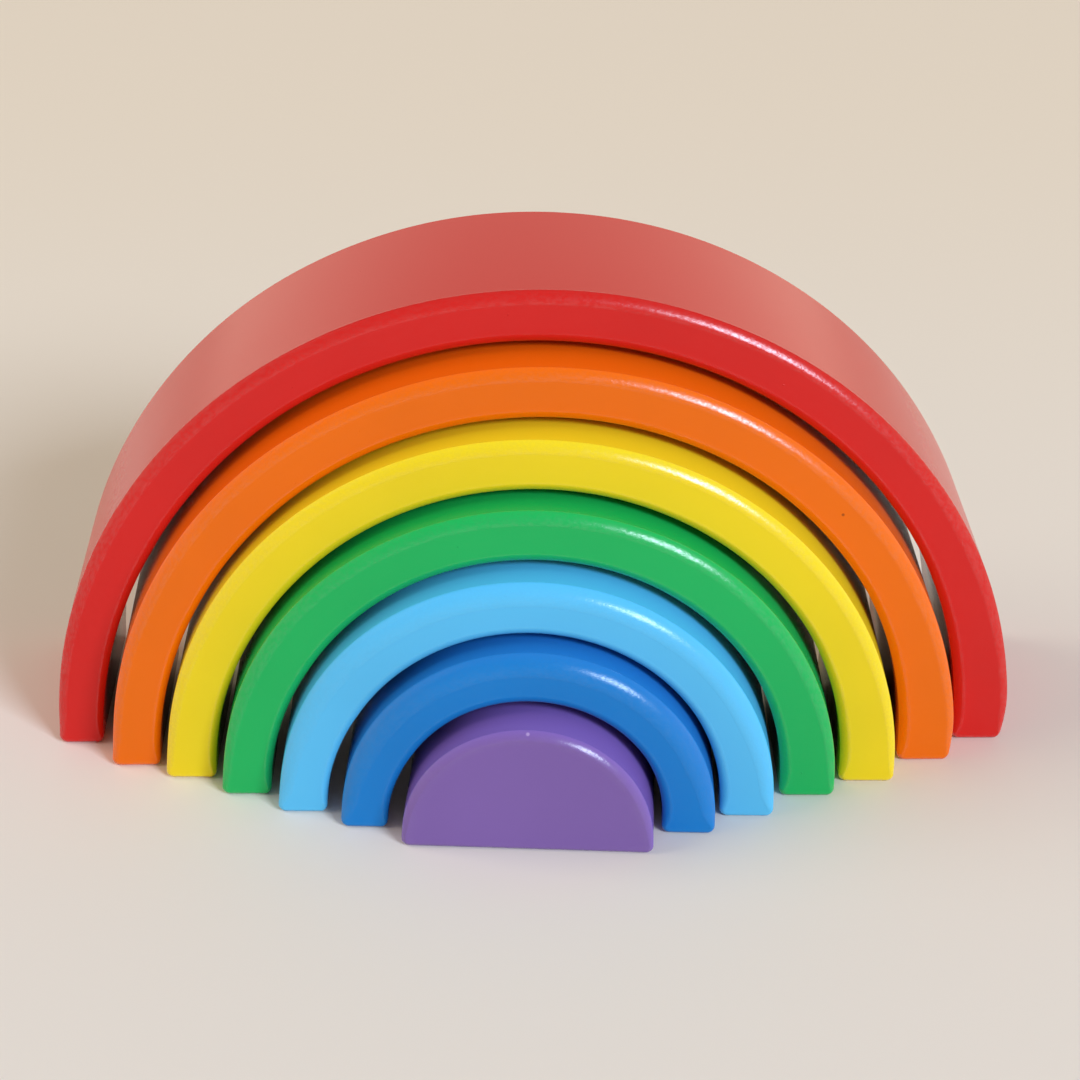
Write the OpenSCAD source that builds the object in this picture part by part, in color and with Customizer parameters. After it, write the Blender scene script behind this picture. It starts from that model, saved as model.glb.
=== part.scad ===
// Nesting rainbow of seven loose wooden blocks: six half-round arches around a solid half-round core.
// Millimetres, +Z up, front towards -Y. The origin lies on the floor, in the middle of the staggered set.

/* [Blocks] */
// Radius of the solid core
core_r = 30; // [24:0.5:40]
// How much larger in radius each block is than the one inside it
pitch = 15; // [12:0.5:20]
// Space between an arch and the next arch inside it
gap = 2.2; // [1:0.1:3]
// Space between the innermost arch and the core
core_gap = 2.8; // [1:0.1:4]
// Depth of every block, front to back
depth = 55.5; // [40:0.5:80]
// Height of the straight feet below the half circles
foot_h = 2.6; // [2.6:0.1:12]

/* [Sanded edges] */
// Rounding of the long front and back edges
edge_r = 3; // [2.6:0.1:4]
// Rounding of the edges around the feet
foot_r = 2; // [0.5:0.1:2.4]

/* [Orange arch] */
// How far its front stands before the front of the red arch
orange_step = 10.6; // [0:0.1:40]
// Where its front sits across the gap, from -1 at the left to 1 at the right
orange_front_share = -0.1; // [-0.84:0.02:0.84]
// Where its back sits across the gap, from -1 at the left to 1 at the right
orange_back_share = -0.2; // [-0.84:0.02:0.84]

/* [Yellow arch] */
// How far its front stands before the front of the orange arch
yellow_step = 7.8; // [0:0.1:40]
// Where its front sits across the gap, from -1 at the left to 1 at the right
yellow_front_share = -0.5; // [-0.84:0.02:0.84]
// Where its back sits across the gap, from -1 at the left to 1 at the right
yellow_back_share = 0.1; // [-0.84:0.02:0.84]

/* [Green arch] */
// How far its front stands before the front of the yellow arch
green_step = 7.1; // [0:0.1:40]
// Where its front sits across the gap, from -1 at the left to 1 at the right
green_front_share = -0.24; // [-0.84:0.02:0.84]
// Where its back sits across the gap, from -1 at the left to 1 at the right
green_back_share = -0.36; // [-0.84:0.02:0.84]

/* [Sky blue arch] */
// How far its front stands before the front of the green arch
sky_blue_step = 8.4; // [0:0.1:40]
// Where its front sits across the gap, from -1 at the left to 1 at the right
sky_blue_front_share = -0.34; // [-0.84:0.02:0.84]
// Where its back sits across the gap, from -1 at the left to 1 at the right
sky_blue_back_share = 0; // [-0.84:0.02:0.84]

/* [Blue arch] */
// How far its front stands before the front of the sky blue arch
blue_step = 7.1; // [0:0.1:40]
// Where its front sits across the gap, from -1 at the left to 1 at the right
blue_front_share = 0.18; // [-0.84:0.02:0.84]
// Where its back sits across the gap, from -1 at the left to 1 at the right
blue_back_share = 0.6; // [-0.84:0.02:0.84]

/* [Violet core] */
// How far its front stands before the front of the blue arch
violet_step = 8.4; // [0:0.1:40]
// Where its front sits across the gap, from -1 at the left to 1 at the right
violet_front_share = -0.04; // [-0.84:0.02:0.84]
// Where its back sits across the gap, from -1 at the left to 1 at the right
violet_back_share = 0.4; // [-0.84:0.02:0.84]

/* [Hidden] */
$fn = 96;

// The blocks' ranks, from the outside in
red_index = 0;
orange_index = 1;
yellow_index = 2;
green_index = 3;
sky_blue_index = 4;
blue_index = 5;
violet_index = 6;

// Each block's place in the block around it, by rank; the red arch stands free
steps = [0, orange_step, yellow_step, green_step, sky_blue_step, blue_step, violet_step];
front_shares = [0, orange_front_share, yellow_front_share, green_front_share,
    sky_blue_front_share, blue_front_share, violet_front_share];
back_shares = [0, orange_back_share, yellow_back_share, green_back_share,
    sky_blue_back_share, blue_back_share, violet_back_share];

function outer_r(rank) = core_r + pitch * (violet_index - rank);
function space_around(rank) = rank == violet_index ? core_gap : gap;
function bore_r(rank) = outer_r(rank + 1) + space_around(rank + 1);
function turn(rank) = asin((front_shares[rank] - back_shares[rank]) * space_around(rank) / depth);
function stagger(rank) = rank == red_index ? 0 : stagger(rank - 1) + steps[rank];

// The red arch's front, so that the staggered set is centred on the origin
red_front_y = (stagger(violet_index) - depth) / 2;

// Rectangle with rounded corners, centred
module rounded_rect(width, length, radius) {
    square([width - 2 * radius, length], center = true);
    square([width, length - 2 * radius], center = true);
    for (x = [-1, 1], y = [-1, 1])
        translate([x * (width / 2 - radius), y * (length / 2 - radius)])
            circle(radius);
}

// Section across the rim of a foot: x runs outwards, y up from the floor
module rim_section() {
    square([edge_r - foot_r, foot_h]);
    translate([0, foot_r])
        square([edge_r, foot_h - foot_r]);
    translate([edge_r - foot_r, foot_r])
        intersection() {
            circle(foot_r);
            translate([0, -foot_r])
                square(foot_r);
        }
}

// Foot of one width, centred on x, with its front at y = 0: a plain middle inside a rounded rim.
// The middle reaches up inside the half circle, so that the two are one solid at any size.
module foot(width) {
    flat_w = width - 2 * edge_r;
    flat_d = depth - 2 * edge_r;
    translate([0, depth / 2, 0]) {
        translate([-flat_w / 2, -flat_d / 2, 0])
            cube([flat_w, flat_d, foot_h + edge_r]);
        for (side = [0, 180])
            rotate(side) {
                translate([flat_w / 2, flat_d / 2, 0])
                    rotate([90, 0, 0])
                        linear_extrude(flat_d)
                            rim_section();
                translate([-flat_w / 2, flat_d / 2, 0])
                    rotate([90, 0, 90])
                        linear_extrude(flat_w)
                            rim_section();
                translate([flat_w / 2, flat_d / 2, 0])
                    rotate_extrude(angle = 90)
                        rim_section();
                translate([-flat_w / 2, flat_d / 2, 0])
                    rotate(90)
                        rotate_extrude(angle = 90)
                            rim_section();
            }
    }
}

// Turns a section of radius against depth through the upper half circle above the feet
module half_turn() {
    translate([0, 0, foot_h])
        rotate([90, 0, 0])
            rotate_extrude(angle = 180)
                translate([0, -depth / 2])
                    children();
}

// Arch of one rank, with its front at y = 0 and its middle at x = 0
module arch(rank) {
    wall = outer_r(rank) - bore_r(rank);
    middle_r = bore_r(rank) + wall / 2;
    half_turn()
        translate([middle_r, 0])
            rounded_rect(wall, depth, edge_r);
    for (side = [-1, 1])
        translate([side * middle_r, 0, 0])
            foot(wall);
}

// Solid half-round core, in the same place as an arch
module core() {
    half_turn()
        intersection() {
            rounded_rect(2 * core_r, depth, edge_r);
            translate([0, -depth / 2])
                square([core_r, depth]);
        }
    foot(2 * core_r);
}

// Puts a block of one rank in the tunnel of the block around it, and so on out to the red arch
module nested(rank) {
    if (rank == red_index)
        translate([0, red_front_y, 0])
            children();
    else
        nested(rank - 1)
            translate([front_shares[rank] * space_around(rank), -steps[rank], 0])
                rotate(turn(rank))
                    children();
}

module red_arch() {
    color("#d3312e")
        nested(red_index)
            arch(red_index);
}

module orange_arch() {
    color("#e97015")
        nested(orange_index)
            arch(orange_index);
}

module yellow_arch() {
    color("#ebd12c")
        nested(yellow_index)
            arch(yellow_index);
}

module green_arch() {
    color("#2fb361")
        nested(green_index)
            arch(green_index);
}

module sky_blue_arch() {
    color("#60bdef")
        nested(sky_blue_index)
            arch(sky_blue_index);
}

module blue_arch() {
    color("#297cc7")
        nested(blue_index)
            arch(blue_index);
}

module violet_core() {
    color("#8063a6")
        nested(violet_index)
            core();
}

red_arch();
orange_arch();
yellow_arch();
green_arch();
sky_blue_arch();
blue_arch();
violet_core();
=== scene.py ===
# Nesting wooden rainbow: seven painted blocks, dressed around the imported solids. Metres, +Z up, front to -Y.
import math

import bmesh
import bpy
import numpy as np
from mathutils import Matrix, Vector


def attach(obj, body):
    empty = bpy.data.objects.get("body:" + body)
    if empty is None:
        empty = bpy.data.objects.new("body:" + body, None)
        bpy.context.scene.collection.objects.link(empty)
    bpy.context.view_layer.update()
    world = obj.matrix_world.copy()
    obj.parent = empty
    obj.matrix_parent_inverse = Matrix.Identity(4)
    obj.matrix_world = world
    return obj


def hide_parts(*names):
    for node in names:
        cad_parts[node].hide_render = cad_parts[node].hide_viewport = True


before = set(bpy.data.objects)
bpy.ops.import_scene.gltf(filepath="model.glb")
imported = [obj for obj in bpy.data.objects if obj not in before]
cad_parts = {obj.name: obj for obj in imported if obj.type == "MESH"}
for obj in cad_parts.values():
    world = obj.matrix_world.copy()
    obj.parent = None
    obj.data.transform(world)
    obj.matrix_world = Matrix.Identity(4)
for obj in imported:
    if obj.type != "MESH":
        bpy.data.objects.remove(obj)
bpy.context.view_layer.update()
print("frame loaded:", sorted(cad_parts))


# shader sockets

class Socket:
    # a value on its way through a node tree; sums on it add Math nodes
    def __init__(self, tree, output):
        self.tree = tree
        self.output = output

    def node(self, kind, settings, inputs, give=0):
        # a new node, with sockets linked to its inputs and plain values set on them
        made = self.tree.nodes.new(kind)
        for name, value in settings.items():
            setattr(made, name, value)
        for name, value in inputs.items():
            if isinstance(value, Socket):
                self.tree.links.new(value.output, made.inputs[name])
            else:
                made.inputs[name].default_value = value
        return Socket(self.tree, made.outputs[give])

    def math(self, operation, first, second):
        return self.node("ShaderNodeMath", {"operation": operation}, {0: first, 1: second})

    def __add__(self, other):
        return self.math("ADD", self, other)

    def __sub__(self, other):
        return self.math("SUBTRACT", self, other)

    def __mul__(self, other):
        return self.math("MULTIPLY", self, other)

    def __rsub__(self, other):
        return self.math("SUBTRACT", other, self)

    __radd__ = __add__
    __rmul__ = __mul__

    def noise(self, size, detail):
        # soft noise from 0 to 1, its bumps about one size wide
        return self.node("ShaderNodeTexNoise", {}, {"Vector": self, "Scale": 1 / size, "Detail": detail})

    def share(self, name):
        # a share from 0 to 1 that is kept on the mesh's points
        return self.node("ShaderNodeAttribute", {"attribute_name": name}, {}, give="Fac")

    def along(self, axis):
        # one coordinate of a vector
        return self.node("ShaderNodeSeparateXYZ", {}, {"Vector": self}, give=axis)

    def awayFrom(self, place):
        # straight distance from a point
        return self.node("ShaderNodeVectorMath", {"operation": "DISTANCE"}, {0: self, 1: place}, give="Value")

    def smoothBetween(self, low, high):
        # 0 below low, 1 above high, with a soft step between
        settings = {"interpolation_type": "SMOOTHSTEP"}
        return self.node("ShaderNodeMapRange", settings, {"Value": self, "From Min": low, "From Max": high})

    def mixed(self, first, second):
        # the colour that is first where this value is 0 and second where it is 1
        return self.node("ShaderNodeMix", {"data_type": "RGBA"}, {0: self, 6: first, 7: second}, give=2)


def linear(red, green, blue):
    # screen colour, 0 to 255, as the linear colour that shaders take: the standard curve, straight near black
    share = np.array([red, green, blue]) / 255
    return tuple(np.where(share <= 0.04045, share / 12.92, ((share + 0.055) / 1.055) ** 2.4)) + (1.0,)


def darker(colour, share):
    # a linear colour with a share of its light taken away
    return tuple(np.array(colour[:3]) * (1 - share)) + (1.0,)


def newMaterial(name):
    # an empty material, with its tree, its shader and the object's own coordinates
    material = bpy.data.materials.new(name)
    material.use_nodes = True
    tree = material.node_tree
    shader = next(node for node in tree.nodes if node.type == "BSDF_PRINCIPLED")
    where = Socket(tree, tree.nodes.new("ShaderNodeTexCoord").outputs["Object"])
    return material, tree, shader, where


noiseMiddle = 0.5            # mean of a noise that runs from 0 to 1

enamel = {
    "roughness": 0.22,
    "roughnessSpread": 0.08,
    "ior": 1.55,
    "specular": 0.24,        # level of the gloss seen straight on
    "peelSize": 0.0006,      # width of one bump of the sprayed coat
    "peelHeight": 0.000014,
    "peelDetail": 1.0,
    "grainSize": 0.00032,    # finer roughness in the coat
    "grainHeight": 0.000004,
    "speckSize": 0.0008,     # specks of clear coat left on the sanded edges
    "speckDetail": 2.0,
    "speckSpan": (0.42, 0.56),
    "evenCoat": 0.2,         # share of that coat between the specks
    "coatRoughness": 0.24,
    "faceTexture": 0.8,      # share of the peel on faces and sides
    "edgeTexture": 3.0,      # share of it on the sanded edges
    "nibSpacing": 0.0085,    # grid in which at most one nib of dust falls
    "nibRadius": 0.00025,
    "nibCore": 0.35,         # share of a nib's radius that has its full height
    "nibHeight": 0.00008,
    "markCore": 0.4,         # share of a mark's radius that has its full colour
    "shadeSize": 0.045,      # slow change of the coat's thickness
    "shadeDetail": 2.0,
    "shadeSpan": (0.3, 0.7),
    "shadeDepth": 0.06,
    "boreShadeDepth": 0.75,       # how much darker the inside of a bore is painted: painted shade
}


def enamelMaterial(name, piece):
    # Satin enamel sprayed on sanded wood. Colour: the paint with a slow change of tone, the outer side in another
    #  colour that holds painted light and shade, painted shade darkening the bore, and the piece's own marks as soft
    #  balls. Bump: two sizes of peel, stronger on the edges, and a few nibs. The edges also have specks of clear coat.
    material, tree, shader, where = newMaterial(name)
    look = enamel
    paint = piece["paint"]
    bore, edge, side = where.share("bore"), where.share("edge"), where.share("side")
    shade = where.noise(look["shadeSize"], look["shadeDetail"])
    peel = where.noise(look["peelSize"], look["peelDetail"])
    grain = where.noise(look["grainSize"], look["peelDetail"])
    speck = where.noise(look["speckSize"], look["speckDetail"]).smoothBetween(*look["speckSpan"])
    cells = where.node("ShaderNodeTexVoronoi", {}, {"Vector": where, "Scale": 1 / look["nibSpacing"]})
    reach = look["nibRadius"] / look["nibSpacing"]
    nib = 1 - cells.smoothBetween(look["nibCore"] * reach, reach)

    tint = shade.smoothBetween(*look["shadeSpan"]).mixed(paint, darker(paint, look["shadeDepth"]))
    # painted light and shade: the outer side takes its own colour, which stands in for how the light falls on the tops
    tint = side.mixed(tint, piece["sidePaintedLight"])
    # painted shade: the inside of the bore is painted darker, standing in for the shade there
    tint = bore.mixed(tint, darker(paint, look["boreShadeDepth"]))
    for mark in piece["marks"]:
        away = where.awayFrom(mark["place"])
        spot = 1 - away.smoothBetween(look["markCore"] * mark["radius"], mark["radius"])
        tint = spot.mixed(tint, mark["paint"])

    spread = look["roughnessSpread"]
    rough = look["roughness"] + (peel - noiseMiddle) * spread + (shade - noiseMiddle) * spread
    texture = look["faceTexture"] + edge * (look["edgeTexture"] - look["faceTexture"])
    height = (peel * look["peelHeight"] + grain * look["grainHeight"]) * texture + nib * look["nibHeight"]
    bump = where.node("ShaderNodeBump", {}, {"Strength": 1.0, "Distance": 1.0, "Height": height})
    coat = edge * (look["evenCoat"] + speck * (1 - look["evenCoat"])) * piece["coat"]

    tree.links.new(tint.output, shader.inputs["Base Color"])
    tree.links.new(rough.output, shader.inputs["Roughness"])
    tree.links.new(bump.output, shader.inputs["Normal"])
    tree.links.new(coat.output, shader.inputs["Coat Weight"])
    shader.inputs["Coat Roughness"].default_value = look["coatRoughness"]
    shader.inputs["IOR"].default_value = look["ior"]
    shader.inputs["Specular IOR Level"].default_value = look["specular"]
    return material


# the blocks' shapes

frontFacing = -0.9           # a face whose normal's y is below this looks to the front


def measureBlock(node, solid):
    # a block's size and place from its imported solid: turn is read off the largest triangle of its front face, and
    # the other sizes off its points, turned straight
    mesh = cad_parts[node].data
    points = np.empty(3 * len(mesh.vertices))
    mesh.vertices.foreach_get("co", points)
    points = points.reshape(-1, 3)
    normals = np.empty(3 * len(mesh.polygons))
    mesh.polygons.foreach_get("normal", normals)
    normals = normals.reshape(-1, 3)
    areas = np.empty(len(mesh.polygons))
    mesh.polygons.foreach_get("area", areas)
    facing = normals[np.where(normals[:, 1] < frontFacing, areas, 0).argmax()]
    turn = math.atan2(facing[0], -facing[1])
    centre = (points.min(0) + points.max(0)) / 2
    x, y = (points[:, :2] - centre[:2]).T
    across = x * math.cos(turn) + y * math.sin(turn)
    along = y * math.cos(turn) - x * math.sin(turn)
    outer = across.max()
    footHeight = points[:, 2].max() - outer
    feet = points[:, 2] <= footHeight
    return {
        "centre": centre,
        "turn": turn,
        "outer": outer,
        "bore": 0.0 if solid else np.abs(across[feet]).min(),
        "depth": along.max() - along.min(),
        "footHeight": footHeight,
    }


def arcPoints(centre, radius, start, end, count, sign=1):
    # points on a circle from one angle to another, the last left out; normals point out, or in if sign is -1
    angle = np.radians(np.linspace(start, end, count, endpoint=False))
    ray = np.stack([np.cos(angle), np.sin(angle)], 1)
    return np.array(centre) + radius * ray, sign * ray


def linePoints(start, end, normal, count):
    # points on a straight line, the last left out, all with one normal
    share = np.linspace(0, 1, count, endpoint=False)[:, None]
    return np.array(start) * (1 - share) + np.array(end) * share, np.tile(np.array(normal, float), (count, 1))


def joinedOutline(stretches):
    # the points and the normals of several stretches, end to end
    points, normals = zip(*stretches)
    return np.concatenate(points), np.concatenate(normals)


outlineSteps = {"arc": 216, "leg": 3, "corner": 8, "sole": 6, "base": 40}


def archOutline(size, footRound):
    # closed front view of an arch, anticlockwise: outer half circle, foot, bore, foot
    outer, bore, rise = size["outer"], size["bore"], size["footHeight"]
    step = outlineSteps
    return joinedOutline([
        arcPoints((0, rise), outer, 0, 180, step["arc"]),
        linePoints((-outer, rise), (-outer, footRound), (-1, 0), step["leg"]),
        arcPoints((footRound - outer, footRound), footRound, 180, 270, step["corner"]),
        linePoints((footRound - outer, 0), (-bore - footRound, 0), (0, -1), step["sole"]),
        arcPoints((-bore - footRound, footRound), footRound, 270, 360, step["corner"]),
        linePoints((-bore, footRound), (-bore, rise), (1, 0), step["leg"]),
        arcPoints((0, rise), bore, 180, 0, step["arc"], -1),
        linePoints((bore, rise), (bore, footRound), (-1, 0), step["leg"]),
        arcPoints((bore + footRound, footRound), footRound, 180, 270, step["corner"]),
        linePoints((bore + footRound, 0), (outer - footRound, 0), (0, -1), step["sole"]),
        arcPoints((outer - footRound, footRound), footRound, 270, 360, step["corner"]),
        linePoints((outer, footRound), (outer, rise), (1, 0), step["leg"]),
    ])


def coreOutline(size, footRound):
    # closed front view of the core, anticlockwise: half circle, corner, base, corner
    outer, rise = size["outer"], size["footHeight"]
    step = outlineSteps
    return joinedOutline([
        arcPoints((0, rise), outer, 0, 180, step["arc"]),
        linePoints((-outer, rise), (-outer, footRound), (-1, 0), step["leg"]),
        arcPoints((footRound - outer, footRound), footRound, 180, 270, step["corner"]),
        linePoints((footRound - outer, 0), (outer - footRound, 0), (0, -1), step["base"]),
        arcPoints((outer - footRound, footRound), footRound, 270, 360, step["corner"]),
        linePoints((outer, footRound), (outer, rise), (1, 0), step["leg"]),
    ])


def archSpine(size, points):
    # the line in the middle of an arch's face: each outline point's own angle on the middle circle
    middle = (size["outer"] + size["bore"]) / 2
    rise = size["footHeight"]
    lowest = math.asin(max(0.0, (size["outer"] - size["bore"]) / 2 - rise) / middle)
    angle = np.arctan2(np.maximum(points[:, 1] - rise, 0), points[:, 0])
    angle = np.clip(angle, lowest, math.pi - lowest)
    return np.stack([middle * np.cos(angle), rise + middle * np.sin(angle)], 1)


coreMiddle = 0.4             # height of the middle of the core's face above its foot, as a share of the radius


def coreSpine(size, points):
    # one point in the middle of the core's face
    return np.tile([0.0, size["footHeight"] + coreMiddle * size["outer"]], (len(points), 1))


depthRows = {"face": 5, "crease": 3, "strip": 8, "rim": 3, "side": 26}
edgeParts = ("crease", "strip", "rim")
faceSpacing = 1.5            # power that draws the rows of a face towards its edge


def edgeSection(look):
    # Section of a sanded edge from the face to the side. Its tilt goes from 0 to creaseTilt along a short crease,
    # on to rimTilt along the strip and to 90 degrees along a short rim. The cosine and sine of the tilt, summed
    # along the run, are the way outwards and the way back.
    rows = [depthRows[part] for part in edgeParts]
    tilts = [0.0, look["creaseTilt"], look["rimTilt"], 90.0]
    run = np.concatenate([np.full(count, look[part] / count) for part, count in zip(edgeParts, rows)])
    tilt = np.radians(np.interp(np.arange(sum(rows)) + 0.5, np.cumsum([0] + rows), tilts))
    outwards = np.concatenate([[0], np.cumsum(np.cos(tilt) * run)])
    back = np.concatenate([[0], np.cumsum(np.sin(tilt) * run)])
    return outwards, back


def profileRows(look):
    # The rows of a block from the middle of its front face to the middle of its back face, each share from 0 to 1.
    # shrink: how far the outline is drawn in to the spine. inset: how much of the edge's way outwards is left.
    # fromFront, straight, toBack: how much of the front edge, the side and the back edge lies in front of the row.
    # onEdge, onSide: where the row is sanded and where it has the side's colour with painted light.
    outwards, back = edgeSection(look)
    setIn = 1 - outwards / outwards[-1]
    setBack = back / back[-1]
    faceShare = np.linspace(1, 0, depthRows["face"], endpoint=False) ** faceSpacing
    sideShare = (1 - np.cos(np.linspace(0, math.pi, depthRows["side"] + 1)))[1:-1] / 2
    noFace, noEdge, noSide = (np.zeros(len(part)) for part in (faceShare, setIn, sideShare))
    allFace, allEdge, allSide = (np.ones(len(part)) for part in (faceShare, setIn, sideShare))
    return {
        "shrink": np.concatenate([faceShare, noEdge, noSide, noEdge, faceShare[::-1]]),
        "inset": np.concatenate([allFace, setIn, noSide, setIn[::-1], allFace]),
        "fromFront": np.concatenate([noFace, setBack, allSide, allEdge, allFace]),
        "straight": np.concatenate([noFace, noEdge, sideShare, allEdge, allFace]),
        "toBack": np.concatenate([noFace, noEdge, noSide, 1 - setBack[::-1], allFace]),
        "onEdge": np.concatenate([noFace, allEdge, noSide, allEdge, noFace]),
        "onSide": np.concatenate([noFace, setBack, allSide, setBack[::-1], noFace]),
    }


def legShare(height, size, look):
    # 0 above the legs, rising evenly to 1 at the floor
    return np.clip(1 - height / (look["legHeight"] * size["outer"]), 0, 1)


def edgeReach(size, points, inner, look):
    # How far the sanded edge goes into the face and along the side at each outline point: as far as its section,
    # narrower down the legs, scaled to boreEdge in the bore and blended to footEdge near the floor.
    outwards, back = edgeSection(look)
    trimmed = 1 - look["legTrim"] * legShare(points[:, 1], size, look)
    scale = np.where(inner, look["boreEdge"] / outwards[-1], trimmed)
    nearFloor = np.clip(1 - (points[:, 1] - look["footRound"]) / look["footBlend"], 0, 1) ** 2
    reaches = scale * outwards[-1], scale * back[-1]
    return [reach + (look["footEdge"] - reach) * nearFloor for reach in reaches]


def easeFeet(flat, middle, half, look):
    # hand sanding: the outside of each foot moves inwards by its ease, times the square of its nearness to the floor
    for side, ease in ((-1, look["leftEase"]), (1, look["rightEase"])):
        low = np.clip(1 - flat[..., 1] / look["easeHeight"], 0, 1) ** 2
        out = np.clip((side * flat[..., 0] - middle) / half, 0, 1)
        flat[..., 0] -= side * ease * low * out


def strayBore(flat, size, middle, half, look):
    # hand sawing: the bore strays to the left down the legs, nought at the middle of the face and full at the bore
    reach = np.hypot(flat[..., 0], np.maximum(flat[..., 1] - size["footHeight"], 0))
    inwards = np.clip((middle - reach) / half, 0, 1)
    stray = np.where(flat[..., 0] < 0, look["leftStray"], look["rightStray"])
    flat[..., 0] -= stray * legShare(flat[..., 1], size, look) * inwards


def sanderWave(size, points, y, middle, look):
    # depth of the sander's slow waves, 0 or more: sines along the arch, each a little aslant, scaled to the depth
    lengths, slants = look["waveLengths"], look["waveSlants"]
    count = len(lengths)
    phases = np.random.default_rng(look["seed"]).uniform(0, 2 * math.pi, count)
    run = np.arctan2(points[:, 1] - size["footHeight"], points[:, 0]) * middle
    waves = sum(np.sin(run / length + phase + slant * y) for length, phase, slant in zip(lengths, phases, slants))
    return look["wave"] * (count + waves) / (2 * count)


def blockSurface(size, outline, spine, look):
    # A profile of depth carried round the closed outline. Along the profile the outline is first shrunk to the
    # spine (front face), then follows the edge's section out and back (sanded edge), then goes straight back (side),
    # and the same in reverse at the back. The bore strays, the feet are eased, waves go in, and the block is turned
    # and put in its place. The shares are for the paint.
    points, normals = outline
    depth = size["depth"]
    middle = (size["outer"] + size["bore"]) / 2
    half = (size["outer"] - size["bore"]) / 2
    inner = np.hypot(points[:, 0], np.maximum(points[:, 1] - size["footHeight"], 0)) < middle
    inner = inner & (size["bore"] > 0)
    rows = {name: share[:, None] for name, share in profileRows(look).items()}
    edgeIn, edgeBack = edgeReach(size, points, inner, look)
    y = edgeBack * (rows["fromFront"] + rows["toBack"]) + (depth - 2 * edgeBack) * rows["straight"] - depth / 2
    flat = points - normals * edgeIn[:, None] * rows["inset"][..., None]
    flat = flat + (spine - flat) * rows["shrink"][..., None]
    easeFeet(flat, middle, half, look)
    strayBore(flat, size, middle, half, look)
    lift = np.clip(flat[..., 1] / look["waveFade"], 0, 1) * (1 - rows["inset"])
    flat = flat - normals * (sanderWave(size, points, y, middle, look) * lift)[..., None]
    turn, centre = size["turn"], size["centre"]
    x = centre[0] + flat[..., 0] * math.cos(turn) - y * math.sin(turn)
    deep = centre[1] + flat[..., 0] * math.sin(turn) + y * math.cos(turn)
    pastEdge = np.clip((y + depth / 2) / (2 * look["boreEdge"]) - 1, 0, 1)
    shares = {
        # bore: where the painted shade inside the bore goes, faded in past the bore's edge
        "bore": inner * (1 - rows["inset"]) * pastEdge,
        "edge": np.broadcast_to(rows["onEdge"], y.shape),
        # side: where the outer side's colour with painted light and shade goes
        "side": rows["onSide"] * ~inner,
    }
    return np.stack([x, deep, flat[..., 1]], 2), shares


mergeWithin = 1e-6           # points closer than this become one


def gridMesh(name, grid, shares):
    # quads between the rows of a grid whose rows are closed rings; rows that shrink to a line or point are merged
    rows, ring = grid.shape[:2]
    index = np.arange(rows * ring).reshape(rows, ring)
    beside = np.roll(index, -1, axis=1)
    faces = np.stack([index[:-1], beside[:-1], beside[1:], index[1:]], 2).reshape(-1, 4)
    mesh = bpy.data.meshes.new(name)
    mesh.from_pydata(grid.reshape(-1, 3), [], faces)
    for share, values in shares.items():
        mesh.attributes.new(share, "FLOAT", "POINT").data.foreach_set("value", values.astype(np.float32).ravel())
    work = bmesh.new()
    work.from_mesh(mesh)
    bmesh.ops.remove_doubles(work, verts=work.verts, dist=mergeWithin)
    bmesh.ops.recalc_face_normals(work, faces=work.faces)
    work.to_mesh(mesh)
    work.free()
    mesh.polygons.foreach_set("use_smooth", np.ones(len(mesh.polygons), bool))
    mesh.update()
    return mesh


def addBlock(name, node, look, solid=False):
    # one block: outline and spine from its solid's sizes, the surface around them, its enamel and its body
    size = measureBlock(node, solid)
    outline = (coreOutline if solid else archOutline)(size, look["footRound"])
    spine = (coreSpine if solid else archSpine)(size, outline[0])
    mesh = gridMesh(name, *blockSurface(size, outline, spine, look))
    mesh.materials.append(enamelMaterial(name + "Enamel", look))
    block = bpy.data.objects.new(name, mesh)
    bpy.context.scene.collection.objects.link(block)
    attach(block, node)
    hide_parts(node)
    print(name, "made:", len(mesh.polygons), "faces, turned", round(math.degrees(size["turn"]), 2), "degrees")


sanding = {
    "boreEdge": 0.0023,      # how far the bore's edge reaches into the face
    "footEdge": 0.0011,      # the same along the floor
    "footRound": 0.0019,     # corners of the feet, seen from the front
    "footBlend": 0.006,      # height in which the edges narrow to footEdge
    "easeHeight": 0.014,     # height in which the feet are eased
    "legHeight": 0.45,       # share of the outer radius that counts as leg
    "legTrim": 0.4,          # how much narrower the outer edge is at the bottom of a leg
    "wave": 0.00010,
    "waveLengths": (0.009, 0.021),
    "waveSlants": (40, -60),
    "waveFade": 0.004,       # height above the floor from which the waves are full
    "marks": (),
}

crispEdge = {
    **sanding,
    "crease": 0.0009,
    "creaseTilt": 26,
    "strip": 0.0025,
    "rimTilt": 52,
    "rim": 0.0004,
    "coat": 0.8,             # clear coat on its specks
}

softEdge = {
    **sanding,
    "crease": 0.0014,
    "creaseTilt": 16,
    "strip": 0.0043,
    "rimTilt": 60,
    "rim": 0.0007,
    "coat": 0.4,
}

rimmedEdge = {
    **sanding,
    "crease": 0.0004,
    "creaseTilt": 28,
    "strip": 0.0022,
    "rimTilt": 54,
    "rim": 0.0004,
    "coat": 0.55,
}

# each block: its enamel colour, and the outer side's colour that holds painted light and shade
redArch = {
    **crispEdge,
    "paint": linear(208, 32, 28),
    "sidePaintedLight": linear(208, 32, 28),
    "leftEase": 0.0,
    "rightEase": 0.0018,
    "leftStray": 0.0018,
    "rightStray": 0.0012,
    "seed": 3,
}
addBlock("redArch", "red_arch", redArch)

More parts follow.
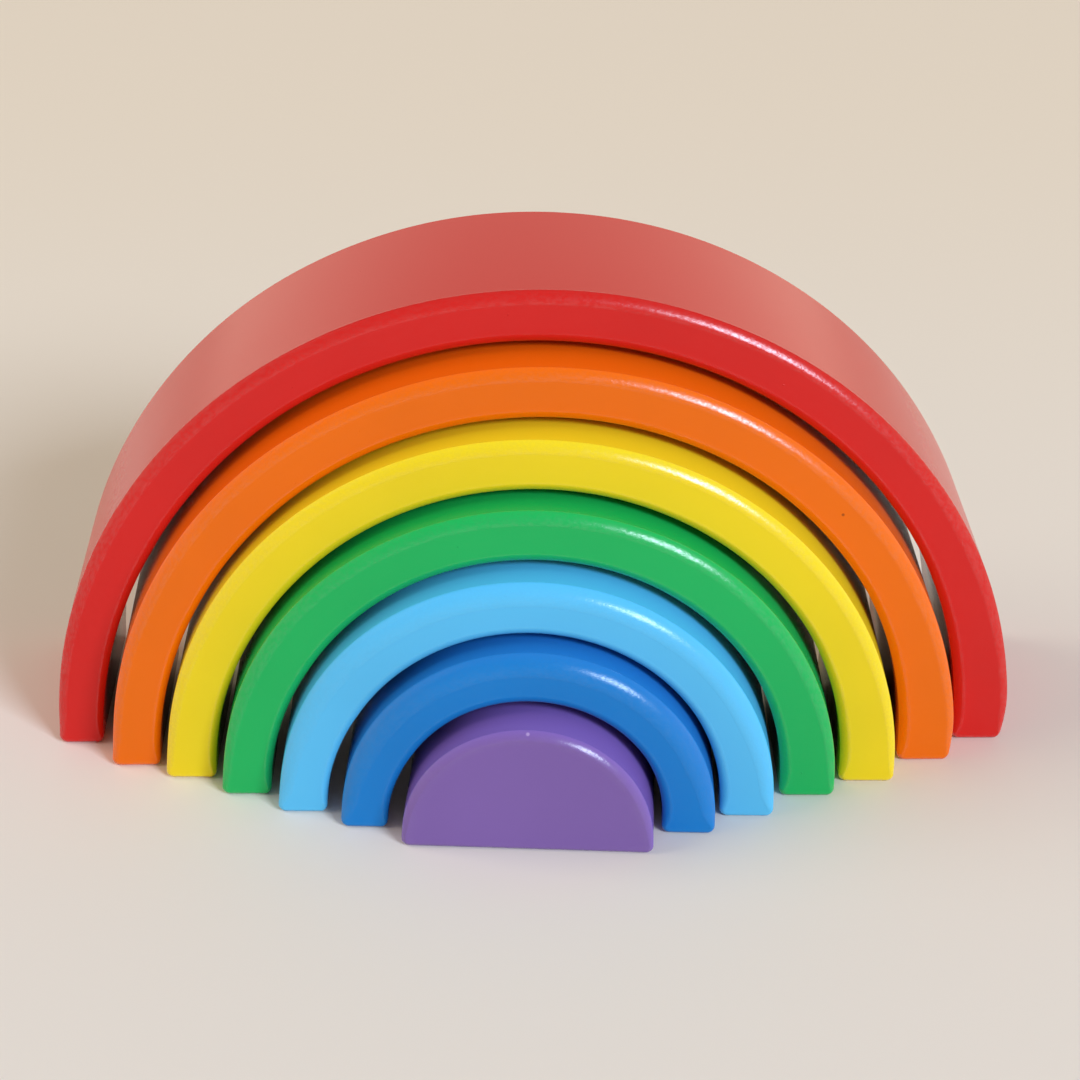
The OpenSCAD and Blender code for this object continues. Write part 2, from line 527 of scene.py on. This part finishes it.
orangeArch = {
    **crispEdge,
    "paint": linear(234, 106, 0),
    "sidePaintedLight": linear(247, 108, 12),
    "leftEase": -0.0004,
    "rightEase": 0.0012,
    "leftStray": 0.0012,
    "rightStray": 0.0014,
    "seed": 5,
    "marks": ({"place": (0.07284, -0.01336, 0.06955), "radius": 0.0005, "paint": linear(160, 66, 2)},),
}
addBlock("orangeArch", "orange_arch", orangeArch)

yellowArch = {
    **crispEdge,
    "paint": linear(238, 206, 24),
    "sidePaintedLight": linear(246, 220, 35),
    "leftEase": -0.0005,
    "rightEase": 0.0003,
    "leftStray": 0.0008,
    "rightStray": 0.0013,
    "seed": 8,
}
addBlock("yellowArch", "yellow_arch", yellowArch)

greenArch = {
    **crispEdge,
    "paint": linear(26, 174, 87),
    "sidePaintedLight": linear(28, 181, 88),
    "leftEase": -0.0004,
    "rightEase": 0.0003,
    "leftStray": 0.0011,
    "rightStray": 0.001,
    "seed": 13,
}
addBlock("greenArch", "green_arch", greenArch)

skyBlueArch = {
    **softEdge,
    "paint": linear(88, 185, 229),
    "sidePaintedLight": linear(88, 195, 252),
    "leftEase": -0.0004,
    "rightEase": 0.0003,
    "leftStray": 0.0013,
    "rightStray": 0.0005,
    "seed": 21,
}
addBlock("skyBlueArch", "sky_blue_arch", skyBlueArch)

blueArch = {
    **softEdge,
    "paint": linear(14, 121, 194),
    "sidePaintedLight": linear(38, 125, 202),
    "leftEase": -0.0002,
    "rightEase": 0.0003,
    "leftStray": 0.0011,
    "rightStray": 0.0009,
    "seed": 34,
}
addBlock("blueArch", "blue_arch", blueArch)

violetCore = {
    **rimmedEdge,
    "paint": linear(124, 93, 160),
    "sidePaintedLight": linear(131, 100, 182),
    "leftEase": 0.0,
    "rightEase": 0.0,
    "leftStray": 0.0,
    "rightStray": 0.0,
    "seed": 55,
    "marks": ({"place": (-0.0032, -0.05143, 0.0318), "radius": 0.0006, "paint": linear(172, 146, 200)},),
}
addBlock("violetCore", "violet_core", violetCore, solid=True)


# floor, light and camera

floorLook = {
    "halfSize": 3.0,
    "nearPaint": (0.84, 0.765, 0.69, 1.0),
    "farPaint": (0.85, 0.735, 0.60, 1.0),
    "nearY": -0.15,
    "farY": 0.55,
    "roughness": 0.75,
    "specular": 0.2,
}


def addFloor(look):
    # flat square sheet, corner to corner, its paint a little warmer towards the back
    corners = np.array([(-1, -1), (1, -1), (1, 1), (-1, 1)]) * look["halfSize"]
    mesh = bpy.data.meshes.new("floor")
    mesh.from_pydata([(x, y, 0.0) for x, y in corners], [], [(0, 1, 2, 3)])
    material, tree, shader, where = newMaterial("paleFloor")
    paint = where.along("Y").smoothBetween(look["nearY"], look["farY"]).mixed(look["nearPaint"], look["farPaint"])
    tree.links.new(paint.output, shader.inputs["Base Color"])
    shader.inputs["Roughness"].default_value = look["roughness"]
    shader.inputs["Specular IOR Level"].default_value = look["specular"]
    mesh.materials.append(material)
    floor = bpy.data.objects.new("floor", mesh)
    bpy.context.scene.collection.objects.link(floor)


addFloor(floorLook)

worldLook = {
    "behind": (1.30, 1.15, 0.93, 1.0),      # at the height of the horizon
    "inFront": (0.72, 0.66, 0.59, 1.0),
    "overhead": (0.26, 0.24, 0.215, 1.0),
    "backSpan": (-0.5, 0.5),                # y of the direction, from inFront to behind
    "upSpan": (0.0, 0.8),                   # z of the direction, from the horizon to overhead
    "backdrop": linear(222, 212, 198),      # what a camera sees past the floor
}


def addWorld(look):
    # pale room: brightest low down behind the object, dimmer overhead and behind the camera; seen itself, a plain wall
    world = bpy.data.worlds.new("studio")
    bpy.context.scene.world = world
    world.use_nodes = True
    tree = world.node_tree
    direction = Socket(tree, tree.nodes.new("ShaderNodeTexCoord").outputs["Generated"])
    seen = Socket(tree, tree.nodes.new("ShaderNodeLightPath").outputs["Is Camera Ray"])
    horizon = direction.along("Y").smoothBetween(*look["backSpan"]).mixed(look["inFront"], look["behind"])
    colour = direction.along("Z").smoothBetween(*look["upSpan"]).mixed(horizon, look["overhead"])
    colour = seen.mixed(colour, look["backdrop"])
    tree.links.new(colour.output, tree.nodes["Background"].inputs["Color"])


addWorld(worldLook)

windowLight = {
    "distance": 9.0,
    "azimuth": 52.0,     # degrees from +X round to the front
    "elevation": 31.0,
    "width": 3.0,
    "height": 2.4,
    "colour": (0.80, 0.95, 1.15),
    "power": 600.0,
    "inGloss": True,
}

wallFill = {
    "distance": 9.0,
    "azimuth": 182.0,
    "elevation": 40.0,
    "width": 6.0,
    "height": 5.4,
    "colour": (1.0, 0.95, 0.88),
    "power": 280.0,
    "inGloss": False,    # the wall is too even to show as a streak
}


def addAreaLight(name, look):
    # rectangle of light at a distance from the origin, in the direction of its azimuth and elevation, facing back
    lamp = bpy.data.lights.new(name, "AREA")
    lamp.shape = "RECTANGLE"
    lamp.size = look["width"]
    lamp.size_y = look["height"]
    lamp.energy = look["power"]
    lamp.color = look["colour"]
    light = bpy.data.objects.new(name, lamp)
    bpy.context.scene.collection.objects.link(light)
    light.visible_glossy = look["inGloss"]
    azimuth, elevation = math.radians(look["azimuth"]), math.radians(look["elevation"])
    level = math.cos(elevation)
    toLight = Vector((level * math.cos(azimuth), -level * math.sin(azimuth), math.sin(elevation)))
    light.location = look["distance"] * toLight
    light.rotation_euler = (-toLight).to_track_quat("-Z", "Y").to_euler()


addAreaLight("windowLight", windowLight)
addAreaLight("wallFill", wallFill)
print("floor and light made")

photoView = {
    "place": (-0.0184, -0.59876, 0.36714),
    "pan": 1.83,         # degrees to the right of straight ahead
    "pitch": 27.443,     # degrees down
    "roll": -0.682,
    "focalPixels": 2752.3,
    "imagePixels": 1080.0,
    "sensor": 36.0,
    "nearest": 0.01,
}


def addCamera(view):
    # the camera looks ahead by pan and pitch, then rolls about that line; lens to sensor is as focal length to image
    pan, pitch, roll = (math.radians(view[key]) for key in ("pan", "pitch", "roll"))
    ahead = Vector((math.sin(pan) * math.cos(pitch), math.cos(pan) * math.cos(pitch), -math.sin(pitch)))
    level = Vector((math.cos(pan), -math.sin(pan), 0.0))
    down = ahead.cross(level)
    right = math.cos(roll) * level + math.sin(roll) * down
    up = math.sin(roll) * level - math.cos(roll) * down
    lens = bpy.data.cameras.new("photoCamera")
    lens.sensor_width = view["sensor"]
    lens.lens = view["sensor"] * view["focalPixels"] / view["imagePixels"]
    lens.clip_start = view["nearest"]
    camera = bpy.data.objects.new("photoCamera", lens)
    bpy.context.scene.collection.objects.link(camera)
    turned = Matrix((right, up, -ahead)).transposed().to_4x4()
    camera.matrix_world = Matrix.Translation(view["place"]) @ turned
    bpy.context.scene.camera = camera


addCamera(photoView)
bpy.context.scene.view_settings.view_transform = "Standard"
print("camera set")
